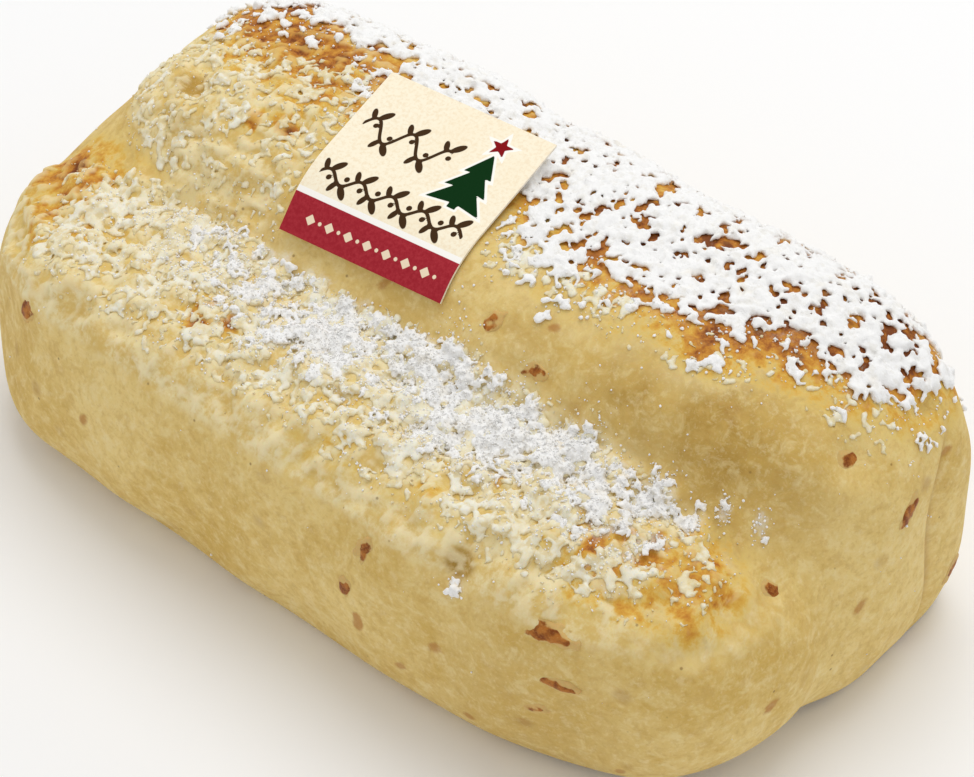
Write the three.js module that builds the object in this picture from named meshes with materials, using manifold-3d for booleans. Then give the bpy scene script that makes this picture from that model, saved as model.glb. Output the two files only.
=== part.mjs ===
// A stollen: one folded loaf of sweet yeast dough, with a low lip along its front, a taller rounded hump
// behind it and a deep crease between the two. Soaked sultanas show through the crust, icing sugar lies
// caked on the hump and drifts along the crease, and a square paper label rests over the hump's shoulder.
// Millimetres, +Z up. X runs along the loaf, -Y is the side of the lip, and the loaf stands on z = 0.
import * as THREE from 'three';
import { mergeVertices } from 'three/addons/utils/BufferGeometryUtils.js';
import Module from 'manifold-3d';

// ---- driving dimensions ----------------------------------------------------------------------------

// The hump: a swollen roll of dough. Exponents above 2 square off its plan and its cross-section.
const HUMP = {
  centre: [-2.1, 15.1, 27.1],
  halfLength: 95.3,
  halfWidth: 34.6,
  above: 42.6,
  below: 48.6,
  planFar: 4.0,
  planNear: 4.6,
  section: 3.2,
};
const HUMP_END_RISE = 7.1; // the hump stands higher towards its two ends
const HUMP_LEAN_RISE = 1.8; // and a little higher at +X than at -X
const HUMP_SETBACK_NEAR = 15.9; // its front draws back at the +X end
const HUMP_SETBACK_FAR = 2.7; // and slightly at the -X end

// The lip: the lower fold of dough along the front.
const LIP = {
  centre: [-3.3, -19.0, 25.0],
  halfLength: 94.0,
  halfWidth: 34.7,
  above: 28.3,
  below: 29.9,
  planFar: 4.4,
  planNear: 2.9,
  section: 3.45,
};
const LIP_SKEW_FAR = 3.7; // its end walls are slightly out of square
const LIP_SKEW_NEAR = 1.6;
const CREASE_FILLET = 8.1; // how softly the two folds run into each other

// Places where the dough has swollen (rise > 0) or sunk (rise < 0).
const SWELLINGS = [
  { at: [-98, -24, 38], radius: 14, rise: 4.0 },
  { at: [-84, -47, 36], radius: 17, rise: -3.0 },
  { at: [-96, -2, 52], radius: 13, rise: -2.2 },
  { at: [-74, -51, 4], radius: 16, rise: 1.5 },
  { at: [88, -20, 10], radius: 20, rise: 1.8 },
  { at: [-90, 20, 62], radius: 14, rise: 0.8 },
];

// The fold's seam on the +X end wall: behind it the dough is set back.
const SEAM = {
  y: 23.5, bendFrom: 36, bendSpan: 20, bend: 9.5, step: 1.8, groove: 1.0, halfWidth: 2.4,
  frontShare: 0.4, frontSpan: [10, 24], wall: [70, 86], topFade: [46, 60],
};

// Small pits and dimples: where the skin has torn over a sultana or a bubble.
const PITS = [
  { at: [40, -49, 44.6], radius: 3.6, rise: -2.2 },
  { at: [-74.6, 1.6, 65.7], radius: 4.0, rise: -2.6 },
  { at: [86.8, 27.3, 57.7], radius: 2.6, rise: -1.6 },
  { at: [85, 7, 59.2], radius: 5.0, rise: -2.4 },
  { at: [-12, 44, 62], radius: 4.0, rise: -2.0 },
  { at: [52, 50, 36], radius: 3.6, rise: -1.8 },
];

// Relief of the crust. Ranges are where an effect starts and where it is full.
const UNEVEN = { wavelength: 30, height: 0.5 };
const BLISTERS = { wavelength: 8.5, height: 0.6 };
const LEVEL_CRUST = [0.35, 0.75]; // upward part of the normal on the two tops
const LIP_FRONT = [8, 18]; // distance in front of y = 0
const FAR_SHOULDER = { along: [10, 45], back: [14, 26], height: [58, 64] }; // blistered part of the hump
const RELIEF_FOOT = [0.5, 8]; // relief fades out towards the surface the loaf stands on
const SUGAR_HEIGHT = 1.3; // thickness of the caked icing sugar on the hump
const DRIFT_HEIGHT = 0.8; // and of the drift along the crease
// Front edge of the caked sugar: its y at stations along x.
const SUGAR_FRONT = [[-100, 21], [-45, 27], [-8, 21], [18, 11], [38, 8], [62, 14], [95, 28]];
const SUGAR_LOW = 55; // the cake of sugar thins out below this height
const SUGAR_FADE = { inward: 10, upward: 6, most: 1.1, least: -2 }; // how it thickens from its edges
const SUGAR_FOOT = [46, 56]; // and no sugar holds below this height
const DRIFT = { xFrom: -34, xTo: 66, y: -22, halfWidth: 7, fade: 14 };

// Mesh of the loaf: cells along X, Y and Z of the box that is swollen into the loaf.
const CELLS = [56, 32, 11];
const CELL_BOX = { half: [100, 54, 38], centre: [-4, -2, 34] };
const SPINE_HALF_LENGTH = 60;
const SPINE_HEIGHT = 18;
const BASE_SPARE = 4; // dough below z = 0, cut away to leave the flat base

// Sultanas that show in the crust: a place on it, their length and width, and the turn of the long axis
// away from X, in degrees round the crust's normal.
const SULTANAS = [
  { at: [60.3, -47.2, 41.4], length: 12.0, width: 4.6, turn: 2 },
  { at: [21.5, -52.5, 39.4], length: 7.0, width: 4.2, turn: 65 },
  { at: [15.9, -11.8, 64.1], length: 8.0, width: 3.8, turn: 60 },
  { at: [27.9, -14.5, 60.9], length: 7.0, width: 4.0, turn: 20 },
  { at: [-71.0, -49.6, 40.8], length: 8.0, width: 5.0, turn: 70 },
  { at: [63.1, -48.5, 31.9], length: 11.0, width: 3.4, turn: -3 },
  { at: [17.5, -53.6, 28.1], length: 6.5, width: 3.4, turn: 75 },
  { at: [59.4, -49.5, 23.1], length: 7.5, width: 3.4, turn: 8 },
  { at: [84.9, -14.4, 42.8], length: 7.5, width: 4.6, turn: 25 },
  { at: [85.0, 7.0, 59.2], length: 9.0, width: 5.6, turn: 60 },
  { at: [92.0, 14.3, 45.5], length: 8.5, width: 3.8, turn: 40 },
  { at: [92.5, 33.2, 14.5], length: 8.0, width: 4.4, turn: 60 },
  { at: [-20.0, 50.0, 30.0], length: 9.5, width: 4.6, turn: 15 },
  { at: [34.0, 50.0, 22.0], length: 8.0, width: 5.0, turn: 65 },
  { at: [-62.0, 48.0, 40.0], length: 8.5, width: 4.2, turn: -20 },
  { at: [66.0, 47.0, 34.0], length: 7.5, width: 4.6, turn: 40 },
  { at: [-92.0, 24.0, 34.0], length: 8.0, width: 4.4, turn: -50 },
];
const SULTANA_THICKNESS = 3.6;
const SULTANA_SHOWS = 0.7; // how far a sultana stands proud of the crust
const SULTANA_WRINKLE = 0.09; // relative depth of its wrinkles
const GAP = 0.3;

// The paper label, laid over the hump's front shoulder. It is stiff card: it bends with the shoulder, but
// neither as flat as the top behind it nor as steep as the crease in front of it.
const LABEL = {
  width: 39,
  height: 40,
  thickness: 0.5,
  centreX: -16.2,
  centreY: 2.8,
  turn: 5, // degrees round its own face
  flattest: 12,
  steepest: 44,
  lift: 1.3, // above the shoulder, on the sugar it lies on
  pathSpare: 6,
};
const LABEL_BED = { back: 2.2, spans: [18, 27] }; // the crust is smooth under the label

// ---- helpers ---------------------------------------------------------------------------------------

const wasm = await Module();
wasm.setup();

const clamp = THREE.MathUtils.clamp;
const smoothstep = THREE.MathUtils.smoothstep;
const rad = THREE.MathUtils.degToRad;

// Park and Miller's generator, so that every run draws the same numbers.
function generator(seed) {
  let state = seed;
  return () => {
    state = (state * 16807) % 2147483647;
    return state / 2147483647;
  };
}

// Smooth irregular relief of one wavelength, between about -2 and 2: a sum of plane waves.
function makeWaves(wavelength, seed, count = 12) {
  const random = generator(seed);
  const waves = [];
  for (let i = 0; i < count; i += 1) {
    const up = 2 * random() - 1;
    const turn = 2 * Math.PI * random();
    const stretch = 0.75 + 0.5 * random();
    const phase = 2 * Math.PI * random();
    const flat = Math.sqrt(1 - up * up);
    const scale = (2 * Math.PI) / (wavelength * stretch);
    waves.push([flat * Math.cos(turn) * scale, flat * Math.sin(turn) * scale, up * scale, phase]);
  }
  const norm = Math.sqrt(2 / count);
  return ([x, y, z]) => {
    let sum = 0;
    for (const [kx, ky, kz, phase] of waves) {
      sum += Math.sin(kx * x + ky * y + kz * z + phase);
    }
    return sum * norm;
  };
}

// Value at x on a line through stations [x, value].
function between(x, stations) {
  const last = stations.length - 1;
  if (x <= stations[0][0]) {
    return stations[0][1];
  }
  for (let i = 0; i < last; i += 1) {
    const [x0, v0] = stations[i];
    const [x1, v1] = stations[i + 1];
    if (x <= x1) {
      return v0 + ((v1 - v0) * (x - x0)) / (x1 - x0);
    }
  }
  return stations[last][1];
}

function bump([x, y, z], [cx, cy, cz], radius) {
  const r2 = (x - cx) ** 2 + (y - cy) ** 2 + (z - cz) ** 2;
  return Math.exp(-r2 / (radius * radius));
}

function toManifold(geometry) {
  const bare = geometry.clone();
  bare.deleteAttribute('normal');
  bare.deleteAttribute('uv');
  const merged = mergeVertices(bare, 1e-4);
  return new wasm.Manifold(
    new wasm.Mesh({
      numProp: 3,
      vertProperties: new Float32Array(merged.attributes.position.array),
      triVerts: new Uint32Array(merged.index.array),
    }),
  );
}

function fromManifold(solid) {
  const mesh = solid.getMesh();
  const geometry = new THREE.BufferGeometry();
  geometry.setAttribute('position', new THREE.BufferAttribute(new Float32Array(mesh.vertProperties), 3));
  geometry.setIndex(new THREE.BufferAttribute(new Uint32Array(mesh.triVerts), 1));
  geometry.computeVertexNormals();
  return geometry;
}

// Moves every vertex of a geometry to place(vertex).
function reshape(geometry, place) {
  const position = geometry.attributes.position;
  const vertex = new THREE.Vector3();
  for (let i = 0; i < position.count; i += 1) {
    vertex.fromBufferAttribute(position, i);
    position.setXYZ(i, ...place(vertex.toArray()));
  }
  position.needsUpdate = true;
  return geometry;
}

// ---- the dough's form ------------------------------------------------------------------------------

// Distance-like value of one fold: negative inside, zero on its skin.
function fold(x, y, z, shape) {
  const plan = x < 0 ? shape.planFar : shape.planNear;
  const rise = z < 0 ? shape.below : shape.above;
  const flat = Math.abs(x / shape.halfLength) ** plan + Math.abs(y / shape.halfWidth) ** plan;
  const whole = flat ** (shape.section / plan) + Math.abs(z / rise) ** shape.section;
  return (whole ** (1 / shape.section) - 1) * shape.scale;
}

function dough(point) {
  const [x, y, z] = point;
  const t = clamp(x / HUMP.halfLength, -1.1, 1.1);
  const setback = t > 0 ? HUMP_SETBACK_NEAR * t ** 4 : HUMP_SETBACK_FAR * -(t ** 3);
  const hump = fold(x - HUMP.centre[0], y - HUMP.centre[1] - setback / 2, z - HUMP.centre[2], {
    ...HUMP,
    halfWidth: HUMP.halfWidth - setback / 2,
    above: HUMP.above + HUMP_LEAN_RISE * t + HUMP_END_RISE * t * t,
    scale: HUMP.halfWidth,
  });
  const across = (y - LIP.centre[1]) / LIP.halfWidth;
  const skew = (t < 0 ? LIP_SKEW_FAR : LIP_SKEW_NEAR) * Math.abs(t) * across;
  const lip = fold(x - LIP.centre[0], y - LIP.centre[1], z - LIP.centre[2], {
    ...LIP,
    halfLength: LIP.halfLength + skew,
    scale: LIP.halfWidth,
  });
  const mix = clamp(0.5 + (0.5 * (lip - hump)) / CREASE_FILLET, 0, 1);
  return lip * (1 - mix) + hump * mix - CREASE_FILLET * mix * (1 - mix);
}

// The point of the loaf's inner spine that a place on the crust is measured from.
function spineBeside([x]) {
  return [clamp(x, -SPINE_HALF_LENGTH, SPINE_HALF_LENGTH), 0, SPINE_HEIGHT];
}

// The point where a ray from inside the dough leaves it.
function skinPoint(from, towards) {
  const direction = towards.map((value, i) => value - from[i]);
  let near = 0;
  let far = 4;
  for (let i = 0; i < 40; i += 1) {
    const middle = (near + far) / 2;
    const point = from.map((value, k) => value + direction[k] * middle);
    if (Math.max(dough(point), -point[2] - BASE_SPARE) < 0) {
      near = middle;
    } else {
      far = middle;
    }
  }
  return from.map((value, k) => value + direction[k] * near);
}

function skinNormal(point) {
  const step = 0.2;
  const normal = [0, 1, 2].map((axis) => {
    const up = [...point];
    const down = [...point];
    up[axis] += step;
    down[axis] -= step;
    return dough(up) - dough(down);
  });
  return new THREE.Vector3(...normal).normalize().toArray();
}

// ---- relief of the crust ---------------------------------------------------------------------------

const unevenWaves = makeWaves(UNEVEN.wavelength, 11);
const blisterWaves = makeWaves(BLISTERS.wavelength, 23);
const cakeWaves = makeWaves(17, 37);
const clumpWaves = makeWaves(8, 41);

// 1 on the two tops of the loaf, 0 on its walls and on the hump's steep front.
function crown(normal) {
  return smoothstep(normal[2], ...LEVEL_CRUST);
}

// Positive where icing sugar lies caked on the hump.
function cakedSugar(point) {
  const [x, y, z] = point;
  const { inward: inSpan, upward: upSpan, most, least } = SUGAR_FADE;
  const inward = clamp((y - between(x, SUGAR_FRONT)) / inSpan, least, most);
  const height = clamp((z - SUGAR_LOW) / upSpan, least, most);
  return Math.min(inward, height) + 0.45 * cakeWaves(point) + 0.35 * clumpWaves(point);
}

// Positive where loose sugar has drifted against the crease.
function driftedSugar(point) {
  const [x, y] = point;
  const inside = Math.min(x - DRIFT.xFrom, DRIFT.xTo - x) / DRIFT.fade;
  const close = 1 - Math.abs(y - DRIFT.y) / DRIFT.halfWidth;
  return Math.min(inside, close, 1) + 0.4 * clumpWaves(point);
}

// The seam on the +X end wall: the dough in front of it stands forward, the strip behind it is set back.
function seamRelief([x, y, z]) {
  const over = clamp((z - SEAM.bendFrom) / SEAM.bendSpan, 0, 1);
  const beyond = y - (SEAM.y + SEAM.bend * over * over);
  const inFront = SEAM.frontShare * (1 - smoothstep(-beyond, ...SEAM.frontSpan));
  const step = SEAM.step * (inFront - smoothstep(beyond, -2, 2));
  const groove = SEAM.groove * Math.exp(-((beyond / SEAM.halfWidth) ** 2));
  return smoothstep(x, ...SEAM.wall) * (1 - smoothstep(z, ...SEAM.topFade)) * (step - groove);
}

function relief(point, normal) {
  const [x, y, z] = point;
  const top = crown(normal);
  const onLip = smoothstep(-y, ...LIP_FRONT);
  const { along, back, height: shoulder } = FAR_SHOULDER;
  const onShoulder = smoothstep(-x, ...along) * (1 - smoothstep(y, ...back)) * smoothstep(z, ...shoulder);
  const blistered = top * Math.max(onLip, onShoulder);
  const cake = smoothstep(cakedSugar(point), 0, 0.45) * smoothstep(z, ...SUGAR_FOOT);
  const drift = top * onLip * smoothstep(driftedSugar(point), 0, 0.6);
  let height = UNEVEN.height * unevenWaves(point);
  height += BLISTERS.height * blistered * (1 - drift) * blisterWaves(point);
  height += SUGAR_HEIGHT * cake + DRIFT_HEIGHT * drift;
  const fromLabel = [Math.abs(x - LABEL.centreX), Math.abs(y - LABEL.centreY - LABEL_BED.back)];
  height *= smoothstep(Math.max(...fromLabel), ...LABEL_BED.spans);
  for (const { at, radius, rise } of [...SWELLINGS, ...PITS]) {
    height += rise * bump(point, at, radius);
  }
  return (height + seamRelief(point)) * smoothstep(z, ...RELIEF_FOOT);
}

// ---- the loaf --------------------------------------------------------------------------------------

function makeLoafSolid() {
  const box = new THREE.BoxGeometry(2, 2, 2, ...CELLS);
  reshape(box, (cell) => {
    const target = cell.map((value, i) => value * CELL_BOX.half[i] + CELL_BOX.centre[i]);
    const point = skinPoint(spineBeside(target), target);
    const normal = skinNormal(point);
    const height = relief(point, normal);
    return point.map((value, i) => value + normal[i] * height);
  });
  const above = new THREE.BoxGeometry(300, 300, 200);
  above.translate(0, 0, 100);
  return toManifold(box).intersect(toManifold(above));
}

// A sultana: a flattened, wrinkled berry, long axis along X.
function makeSultanaGeometry(index, length, width, grow) {
  const wrinkles = makeWaves(0.9, 101 + 7 * index);
  const half = [length / 2, width / 2, SULTANA_THICKNESS / 2];
  return reshape(new THREE.IcosahedronGeometry(1, 1), (unit) => {
    const swell = 1 + SULTANA_WRINKLE * wrinkles(unit);
    return unit.map((value, i) => value * (half[i] * swell + grow));
  });
}

// Where a sultana sits: sunk in the crust, its flat face along it.
function sultanaFrame({ at, turn }) {
  const point = skinPoint(spineBeside(at), at);
  const normal = skinNormal(point);
  const up = new THREE.Vector3(...normal);
  const along = new THREE.Vector3(1, 0, 0).addScaledVector(up, -up.x);
  if (along.lengthSq() < 0.1) {
    along.set(0, 1, 0).addScaledVector(up, -up.y);
  }
  along.normalize().applyAxisAngle(up, rad(turn));
  const side = new THREE.Vector3().crossVectors(up, along);
  const height = relief(point, normal) + SULTANA_SHOWS - SULTANA_THICKNESS / 2;
  const centre = new THREE.Vector3(...point).addScaledVector(up, height);
  return new THREE.Matrix4().makeBasis(along, side, up).setPosition(centre);
}

// ---- the label -------------------------------------------------------------------------------------

// Height of the hump's smooth top at a place.
function topAt(x, y) {
  return skinPoint([x, y, SPINE_HEIGHT], [x, y, SPINE_HEIGHT + 30])[2];
}

// The line that the card follows from its centre towards the front (+1) or the back (-1).
function labelPath(sense) {
  const stride = 0.2;
  const path = [];
  let y = LABEL.centreY;
  let z = topAt(LABEL.centreX, y) + LABEL.lift;
  while (path.length * stride < LABEL.height / 2 + LABEL.pathSpare) {
    const [, ny, nz] = skinNormal([LABEL.centreX, y, topAt(LABEL.centreX, y)]);
    const angle = clamp(Math.atan2(-ny, nz), rad(LABEL.flattest), rad(LABEL.steepest));
    path.push([y, z, angle]);
    y -= sense * Math.cos(angle) * stride;
    z -= sense * Math.sin(angle) * stride;
  }
  return (run) => path[Math.round(run / stride)];
}

function makeLabelGeometry() {
  const [forward, backward] = [labelPath(1), labelPath(-1)];
  const turn = rad(LABEL.turn);
  const sheet = new THREE.BoxGeometry(LABEL.width, LABEL.height, LABEL.thickness, 6, 16, 1);
  return reshape(sheet, ([across, up, out]) => {
    const x = LABEL.centreX + across * Math.cos(turn) - up * Math.sin(turn);
    const run = -across * Math.sin(turn) - up * Math.cos(turn);
    const [y, z, angle] = run > 0 ? forward(run) : backward(-run);
    return [x, y - out * Math.sin(angle), z + out * Math.cos(angle)];
  });
}

// ---- the assembly ----------------------------------------------------------------------------------

function material(color, roughness) {
  return new THREE.MeshStandardMaterial({ color, roughness, metalness: 0 });
}

function addMesh(parent, name, geometry, finish) {
  const mesh = new THREE.Mesh(geometry, finish);
  mesh.name = name;
  parent.add(mesh);
  return mesh;
}

const group = new THREE.Group();
let loafSolid = makeLoafSolid();
SULTANAS.forEach((sultana, index) => {
  const frame = sultanaFrame(sultana);
  const { length, width } = sultana;
  const pocket = makeSultanaGeometry(index, length, width, GAP).applyMatrix4(frame);
  loafSolid = loafSolid.subtract(toManifold(pocket));
  const berry = makeSultanaGeometry(index, length, width, 0).applyMatrix4(frame);
  const name = `sultana_${String(index + 1).padStart(2, '0')}`;
  addMesh(group, name, mergeVertices(berry, 1e-4), material(0x8a4a26, 0.5));
});
const loaf = addMesh(group, 'loaf', fromManifold(loafSolid), material(0xd9c08a, 0.7));
addMesh(group, 'label', makeLabelGeometry(), material(0xf0e2c4, 0.8));

// The origin is the middle of the loaf's footprint box, on the surface it stands on.
loaf.geometry.computeBoundingBox();
const middle = loaf.geometry.boundingBox.getCenter(new THREE.Vector3());
group.position.set(-middle.x, -middle.y, 0);

export default group;
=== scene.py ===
import math

import bmesh
import bpy
import numpy as np
from mathutils import Matrix, Vector, noise
from mathutils.bvhtree import BVHTree
from mathutils.kdtree import KDTree


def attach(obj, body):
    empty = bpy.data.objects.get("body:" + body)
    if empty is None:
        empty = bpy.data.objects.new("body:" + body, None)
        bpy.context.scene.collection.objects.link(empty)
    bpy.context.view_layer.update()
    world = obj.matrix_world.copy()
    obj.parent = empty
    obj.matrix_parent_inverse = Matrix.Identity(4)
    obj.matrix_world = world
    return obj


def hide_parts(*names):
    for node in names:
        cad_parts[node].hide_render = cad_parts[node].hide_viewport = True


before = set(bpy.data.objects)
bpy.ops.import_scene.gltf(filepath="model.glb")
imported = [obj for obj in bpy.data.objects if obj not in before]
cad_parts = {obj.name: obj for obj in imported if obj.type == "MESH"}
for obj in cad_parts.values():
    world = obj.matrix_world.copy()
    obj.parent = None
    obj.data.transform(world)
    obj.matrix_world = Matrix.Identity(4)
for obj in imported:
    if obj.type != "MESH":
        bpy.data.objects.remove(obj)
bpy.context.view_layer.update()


# ---- the dough -------------------------------------------------------------------------------------
# One oblong of sweet yeast dough with sultanas worked in, folded over itself before baking: a low lip
# runs along the front of a taller hump. Baked pale, with cream walls, blistered tops, and gold to brown
# crust where it stands highest. Its measures are in millimetres from the middle of the fold.

MM = 0.001
FOLD_FROM_ORIGIN = np.array([4.309, 2.229, 0.0])

HUMP = {"centre": (-2.1, 15.1, 27.1), "length": 95.3, "width": 34.6, "above": 42.6, "below": 48.6,
        "plan_far": 4.0, "plan_near": 4.6, "section": 3.2}
LIP = {"centre": (-3.3, -19.0, 25.0), "length": 94.0, "width": 34.7, "above": 28.3, "below": 29.9,
       "plan_far": 4.4, "plan_near": 2.9, "section": 3.45}
CREASE_FILLET = 8.1
SPINE_HALF_LENGTH = 60.0
SPINE_HEIGHT = 18.0
BASE_SPARE = 4.0

# Where the dough has swollen or sunk: a place, its radius and its rise.
SWELLINGS = [
    ((-98, -24, 38), 14, 4.0), ((-84, -47, 36), 17, -3.0), ((-96, -2, 52), 13, -2.2),
    ((-74, -51, 4), 16, 1.5), ((88, -20, 10), 20, 1.8), ((-90, 20, 62), 14, 0.8),
    ((40, -49, 44.6), 3.4, -3.0), ((-74.6, 1.6, 65.7), 4.0, -3.2), ((86.8, 27.3, 57.7), 2.6, -1.6),
    ((85, 7, 59.2), 5.0, -2.4), ((-12, 44, 62), 4.0, -2.0), ((52, 50, 36), 3.6, -1.8),
]


def smooth(x, low, high):
    t = np.clip((x - low) / (high - low), 0, 1)
    return t * t * (3 - 2 * t)


def unit_rows(vectors):
    return vectors / np.linalg.norm(vectors, axis=1, keepdims=True)


def make_waves(wavelength, seed, count=12):
    """Smooth irregular relief of one wavelength: a sum of plane waves."""
    state = seed
    rows = []
    for _ in range(count):
        drawn = []
        for _ in range(4):
            state = state * 16807 % 2147483647
            drawn.append(state / 2147483647)
        up, turn = 2 * drawn[0] - 1, 2 * math.pi * drawn[1]
        scale = 2 * math.pi / (wavelength * (0.75 + 0.5 * drawn[2]))
        flat = math.sqrt(1 - up * up)
        rows.append((flat * math.cos(turn) * scale, flat * math.sin(turn) * scale, up * scale,
                     2 * math.pi * drawn[3]))
    rows = np.array(rows)
    return lambda p: math.sqrt(2 / count) * np.sin(p @ rows[:, :3].T + rows[:, 3]).sum(axis=1)


def fold(x, y, z, shape, length, width, above):
    """Distance-like value of one fold of dough: negative inside it."""
    plan = np.where(x < 0, shape["plan_far"], shape["plan_near"])
    rise = np.where(z < 0, shape["below"], above)
    flat = np.abs(x / length) ** plan + np.abs(y / width) ** plan
    whole = flat ** (shape["section"] / plan) + np.abs(z / rise) ** shape["section"]
    return (whole ** (1 / shape["section"]) - 1) * shape["width"]


def dough(p):
    x, y, z = p.T
    t = np.clip(x / HUMP["length"], -1.1, 1.1)
    setback = np.where(t > 0, 15.9 * t ** 4, -2.7 * t ** 3)
    cx, cy, cz = HUMP["centre"]
    hump = fold(x - cx, y - cy - setback / 2, z - cz, HUMP, HUMP["length"],
                HUMP["width"] - setback / 2, HUMP["above"] + 1.8 * t + 7.1 * t * t)
    cx, cy, cz = LIP["centre"]
    skew = np.where(t < 0, 3.7, 1.6) * np.abs(t) * (y - cy) / LIP["width"]
    lip = fold(x - cx, y - cy, z - cz, LIP, LIP["length"] + skew, LIP["width"], LIP["above"])
    mix = np.clip(0.5 + 0.5 * (lip - hump) / CREASE_FILLET, 0, 1)
    return lip * (1 - mix) + hump * mix - CREASE_FILLET * mix * (1 - mix)


def spine_beside(p):
    x = np.clip(p[:, 0], -SPINE_HALF_LENGTH, SPINE_HALF_LENGTH)
    return np.column_stack([x, np.zeros(len(p)), np.full(len(p), SPINE_HEIGHT)])


def skin_points(start, towards):
    """Where rays from inside the dough leave it."""
    way = towards - start

    def outside(t):
        p = start + way * t[:, None]
        return np.maximum(dough(p), -p[:, 2] - BASE_SPARE)

    near, far = np.zeros(len(way)), np.full(len(way), 4.0)
    for _ in range(10):
        middle = (near + far) / 2
        inside = outside(middle) < 0
        near, far = np.where(inside, middle, near), np.where(inside, far, middle)
    for _ in range(2):
        low, high = outside(near), outside(far)
        middle = near + (far - near) * np.clip(-low / (high - low), 0.02, 0.98)
        inside = outside(middle) < 0
        near, far = np.where(inside, middle, near), np.where(inside, far, middle)
    low, high = outside(near), outside(far)
    return start + way * (near + (far - near) * -low / (high - low))[:, None]


def skin_normals(p):
    steps = np.eye(3) * 0.2
    return unit_rows(np.column_stack([dough(p + s) - dough(p - s) for s in steps]))


def top_points(x, y):
    """The dough's smooth top above places in plan."""
    low = np.column_stack([x, y, np.full(len(x), SPINE_HEIGHT)])
    return skin_points(low, low + [0, 0, 30])


uneven_waves = make_waves(30, 11)
blister_waves = make_waves(8.5, 23)
crag_waves = make_waves(3.8, 31, 18)
crumb_waves = make_waves(1.9, 37, 18)


def away_from_label(p):
    x, y = np.abs(p[:, 0] + 16.2), np.abs(p[:, 1] - 5)
    return smooth(np.maximum(x, y), 18, 27)


def blistered(p, n):
    """1 where the crust has risen in small blisters: the lip's top and the hump's far front shoulder."""
    x, y, z = p.T
    on_lip = smooth(-y, 8, 18)
    on_far_hump = smooth(-x, 10, 45) * (1 - smooth(y, 14, 26)) * smooth(z, 58, 64)
    return smooth(n[:, 2], 0.35, 0.75) * np.maximum(on_lip, on_far_hump)


def crazed(p, n):
    """From 0 to 1, how far the skin has broken into small pale crags, and those crags themselves."""
    x, y, z = p.T
    on_lip = smooth(-y, 12, 20) * smooth(n[:, 2], 0.3, 0.65) * (1 - 0.6 * smooth(x, 62, 76))
    on_hump = 0.8 * smooth(z, 64, 69) * (1 - smooth(y, 34, 44)) * (1 - 0.65 * smooth(x, -6, 6))
    on_shoulder = smooth(-x, 22, 40) * smooth(z, 52, 60) * (1 - smooth(y, 16, 26))
    where = np.maximum.reduce([on_lip, on_hump, on_shoulder]) * away_from_label(p)
    crags = smooth(0.8 * crag_waves(p) + 0.45 * crumb_waves(p), -0.35, 1.0)
    return where, where * crags


def seam(p):
    """Height of the fold's seam on the near end wall, and how close a point is to its groove, which sets the
    painted shade in it.
    """
    x, y, z = p.T
    over = np.clip((z - 36) / 20, 0, 1)
    beyond = y - (23.5 + 9.5 * over * over)
    step = 1.8 * (0.4 * (1 - smooth(-beyond, 10, 24)) - smooth(beyond, -2, 2))
    groove = np.exp(-((beyond / 2.4) ** 2))
    here = smooth(x, 70, 86) * (1 - smooth(z, 46, 60))
    return here * (step - groove), here * groove


bm = bmesh.new()
bmesh.ops.create_grid(bm, x_segments=290, y_segments=156, size=1)
bmesh.ops.translate(bm, verts=bm.verts, vec=(0, 0, 1))
WALL_ROWS = 52
rim = [e for e in bm.edges if e.is_boundary]
for _ in range(WALL_ROWS):
    made = bmesh.ops.extrude_edge_only(bm, edges=rim)["geom"]
    bmesh.ops.translate(bm, verts=[v for v in made if isinstance(v, bmesh.types.BMVert)],
                        vec=(0, 0, -2 / WALL_ROWS))
    rim = [e for e in made if isinstance(e, bmesh.types.BMEdge) and e.is_boundary]

target = np.array([v.co for v in bm.verts]) * [100, 54, 38] + [-4, -2, 34]
skin = skin_points(spine_beside(target), target)
skin_out = skin_normals(skin)

blister_mask = blistered(skin, skin_out)
craze_mask, crag = crazed(skin, skin_out)
height = (0.5 * uneven_waves(skin) + 0.6 * blister_mask * blister_waves(skin)) * away_from_label(skin)
height += 0.7 * crag - 0.15 * craze_mask
for at, radius, rise in SWELLINGS:
    height += rise * np.exp(-((skin - at) ** 2).sum(axis=1) / radius ** 2)
seam_height, seam_groove_shade = seam(skin)
height = (height + seam_height) * smooth(skin[:, 2], 0.5, 8)
crust = skin + skin_out * height[:, None]

# Where the crust has browned: a place, its radius and how dark, from 0 to 1.
BROWNED = [
    ((60, 19, 70.5), 11, 1.0), ((73, 23, 67), 8, 0.6), ((47, 14, 71), 9.5, 0.85), ((24, 9, 71), 9, 0.6),
    ((54, 6, 70.5), 5.5, 0.65),
    ((33, 26, 72), 20, 0.92), ((0, 28, 71), 20, 0.85), ((-30, 28, 70), 20, 0.85), ((-64, 21, 69), 13, 0.8),
    ((-80, 23, 66), 9, 0.7), ((-50, 17, 70), 9, 0.7), ((-46.5, 0, 69), 2.6, 0.9), ((60, 34, 71), 18, 0.8),
    ((-53.5, -2, 68), 2.2, 0.9), ((78, 36, 65), 13, 0.4), ((-76, 36, 64), 14, 0.6), ((36, 5, 71), 6, 0.3),
    ((-80, -27, 49), 14, 0.5), ((-90, -20, 46), 8, 0.7), ((-34, -38, 52), 4.5, 0.85),
    ((-28, -35, 53), 3.5, 0.6), ((74, -27, 48.5), 11, 0.56), ((60, -34, 50), 9, 0.5), ((44, -30, 52), 8, 0.3),
    ((74, 30, 66), 13, 0.75), ((-60, -32, 51), 14, 0.14), ((4, -40, 50), 16, 0.2), ((30, -38, 50), 11, 0.24),
]
browned = np.zeros(len(skin))
for at, radius, depth in BROWNED:
    here = depth * np.exp(-((skin - at) ** 2).sum(axis=1) / radius ** 2)
    browned = browned + here * (1 - browned)
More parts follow.
